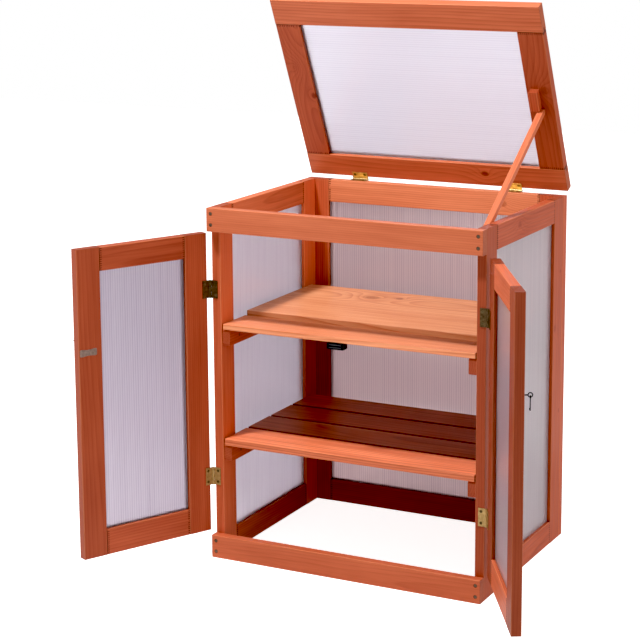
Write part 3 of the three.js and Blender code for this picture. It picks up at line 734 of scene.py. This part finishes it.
LEAF_SPACE = 0.0004
LEAF_HOLE_OUT = 0.012
LEAF_HOLE_UP = 0.012
LEAF_SCREW = (0.0031, 0.0016, 0.010)
LEAF_DOME = 0.00014
for side in ("left", "right"):
    joint = joints[f"{side}_door_hinge"]
    pin = joint["pos_m"]
    x = pin[0] + (LEAF_HOLE_OUT if side == "left" else -LEAF_HOLE_OUT)
    for level, slot in (("lower", "brass"), ("upper", "dark_brass")):
        low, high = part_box(f"{side}_door_{level}_hinge_post_leaf")
        heights = [(low[2] + high[2]) / 2 + up for up in (-LEAF_HOLE_UP, LEAF_HOLE_UP)]
        posts = [(x, pin[1] + LEAF_SPACE / 2, z) for z in heights]
        screws(f"{side}_{level}_post_leaf_screws", posts, [(0, -1, 0)] * 2, LEAF_SCREW, leaf_steel,
               "cabinet", LEAF_DOME)
        doors = opened([(x, pin[1] - LEAF_SPACE / 2, z) for z in heights], joint)
        ways = opened([(0, 1, 0)] * 2, joint, turn_only=True)
        screws(f"{side}_{level}_door_leaf_screws", doors, ways, LEAF_SCREW, leaf_steel,
               f"{side}_door", LEAF_DOME)
joint = joints["lid_hinge"]
pin = joint["pos_m"]
for side in ("left", "right"):
    low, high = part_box(f"lid_{side}_hinge_back_leaf")
    along = [(low[0] + high[0]) / 2 + away for away in (-LEAF_HOLE_UP, LEAF_HOLE_UP)]
    spots = [(x, pin[1] - LEAF_HOLE_OUT, pin[2]) for x in along]
    backs = np.add(spots, (0, 0, -LEAF_SPACE / 2))
    screws(f"lid_{side}_back_leaf_screws", backs, [(0, 0, 1)] * 2, LEAF_SCREW, leaf_steel,
           "cabinet", LEAF_DOME)
    lids = opened(np.add(spots, (0, 0, LEAF_SPACE / 2)), joint)
    ways = opened([(0, 0, -1)] * 2, joint, turn_only=True)
    screws(f"lid_{side}_lid_leaf_screws", lids, ways, LEAF_SCREW, leaf_steel,
           "lid", LEAF_DOME)


# The lid: two rails the full width with two stiles tongued between them, and a sheet whose
# flutes run from side to side. A small block on its underside stops the stick.
stain("lid_front_rail", thinness=0.45)
stain("lid_rear_rail", tone=0.97, thinness=0.4, knots=[(0.123, 0.004, 0.007, 0.9)])
stain("lid_left_stile", tone=0.83, tongued=True,
      knots=[(-0.012, 0.0245, 0.006, 1.0), (0.06, -0.006, 0.012, 0.12)])
stain("lid_right_stile", tone=0.79, tongued=True, knots=[(0.03, 0.012, 0.010, 0.5)])
stain("stop_block", tone=0.95)


# The stick: a square fir stick inside the right side frame that holds the lid up. It turns on one
# domed screw in its foot, and its loose tip rests under the block.
STICK_SCREW = (0.0040, 0.0017, 0.0115)
STICK_SCREW_PLACE = (0.276, 0.062, 0.740)
STICK_DOME = 0.0013
stain("prop_stick", thinness=0.4, figure=0.7)
screws("stick_screw", [STICK_SCREW_PLACE], [(-1, 0, 0)], STICK_SCREW, wood_screw_metal,
       "prop", STICK_DOME)


# The catch: a black moulded housing under the upper shelf with a magnet between two steel
# strips, held by two screws from below.
BLACK = (0.005, 0.005, 0.006, 1)
CHARCOAL = (0.013, 0.013, 0.014, 1)
STRIP_STEEL = (0.10, 0.10, 0.11, 1)
MAGNET_Z = 0.49095
STRIP_OUT = 0.0027
STRIP_EDGE = (0.0007, 0.0009)
STRIP_FRONT = 0.00885
CATCH_SCREW = (0.0024, 0.0012, 0.016)
CATCH_SCREW_IN = 0.003
CATCH_DOME = 0.0004
made, place, fill = material("black_moulding")
grain = place.noise(2500.0, 2.0)
height = place.dot((0.0, 0.0, 1.0))
strips = 1 - abs(abs(height - MAGNET_Z) - STRIP_OUT).rise(*STRIP_EDGE)
strips = strips * (1 - place.dot((0.0, 1.0, 0.0)).rise(STRIP_FRONT, STRIP_FRONT + 0.0001))
fill(
    Base_Color=strips.blend(grain.blend(BLACK, CHARCOAL), STRIP_STEEL),
    Metallic=strips,
    Specular_IOR_Level=0.2,
    Roughness=(grain - 0.5) * 0.2 - strips * 0.08 + 0.45,
    Normal=grain.bump(0.15, 0.0001),
)
dress(nodes["catch"], made)
catch_low, catch_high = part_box("catch")
catch_y = (catch_low[1] + catch_high[1]) / 2
catch_ends = (catch_low[0] + CATCH_SCREW_IN, catch_high[0] - CATCH_SCREW_IN)
catch_places = [(x, catch_y, catch_low[2]) for x in catch_ends]
screws("catch_screws", catch_places, [(0, 0, -1)] * 2, CATCH_SCREW, wood_screw_metal,
       "cabinet", CATCH_DOME)


# The hook and the two screw eyes: bent steel wire with a black coat. An eye is screwed into each
# door's free stile, and the hook swings in the right door's.
made, place, fill = material("black_wire")
grain = place.noise(1500.0, 2.0)
fill(
    Base_Color=grain.blend(BLACK, CHARCOAL),
    Specular_IOR_Level=0.15,
    Roughness=(grain - 0.5) * 0.2 + 0.4,
    Normal=grain.bump(0.1, 0.0001),
)
for name in ("left_eye", "right_eye", "hook"):
    dress(nodes[name], made)


# The strike plate: a small stamped steel plate, drawn in at its waist, that the catch's strips
# hold. One screw in a dished hole fixes it to the inner face of the left door's free stile.
PLATE_SCREW = (0.0033, 0.0016, 0.011)
PLATE_MIDDLE = (-0.0225, 0.0068, 0.491)
PLATE_LENGTH = 0.039
PLATE_HEIGHT = 0.016
PLATE_THICK = 0.0012
PLATE_WAIST = 0.24
PLATE_EASE = 0.0003
DISH_RADIUS = 0.0042
ZINC_BRIGHT = (0.36, 0.28, 0.23, 1)
ZINC_DULL = (0.15, 0.11, 0.09, 1)


def plate_rings():
    """Rings round the plate: back edge, front edge, eased edge, and the dish's rim and bottom. The
    edge is a superellipse of power 7 in polar form, its height drawn in by a share that is
    greatest at the middle of the length."""
    angle = (np.arange(96) + 0.5) * math.pi / 48
    half = np.array([PLATE_LENGTH, PLATE_HEIGHT]) / 2
    way = np.stack([np.cos(angle), np.sin(angle)], -1)
    edge = way / (np.abs(way / half) ** 7).sum(-1, keepdims=True) ** (1 / 7)
    edge[:, 1] *= 1 - PLATE_WAIST * (1 - (edge[:, 0] / half[0]) ** 2) ** 2
    flat = [
        (edge, 0.0),
        (edge, PLATE_THICK - PLATE_EASE),
        (edge * (1 - PLATE_EASE / half), PLATE_THICK),
        (way * DISH_RADIUS, PLATE_THICK),
        (way * DISH_RADIUS * 0.8, PLATE_THICK * 0.5),
    ]
    return np.array([
        np.stack([-points[:, 0], np.full(len(angle), height), points[:, 1]], -1)
        for points, height in flat
    ])


joint = joints["left_door_hinge"]
zinc = metal("zinc_plating", ZINC_BRIGHT, ZINC_DULL, 0.38)
rings = plate_rings() + PLATE_MIDDLE
strike_plate = shell("strike_plate", rings, "left_door", joint)
dress(strike_plate, zinc)
seat = np.add(PLATE_MIDDLE, (0, PLATE_THICK * 0.75, 0))
ways = opened([(0, 1, 0)], joint, turn_only=True)
screws("strike_plate_screw", opened([seat], joint), ways, PLATE_SCREW, zinc,
       "left_door")
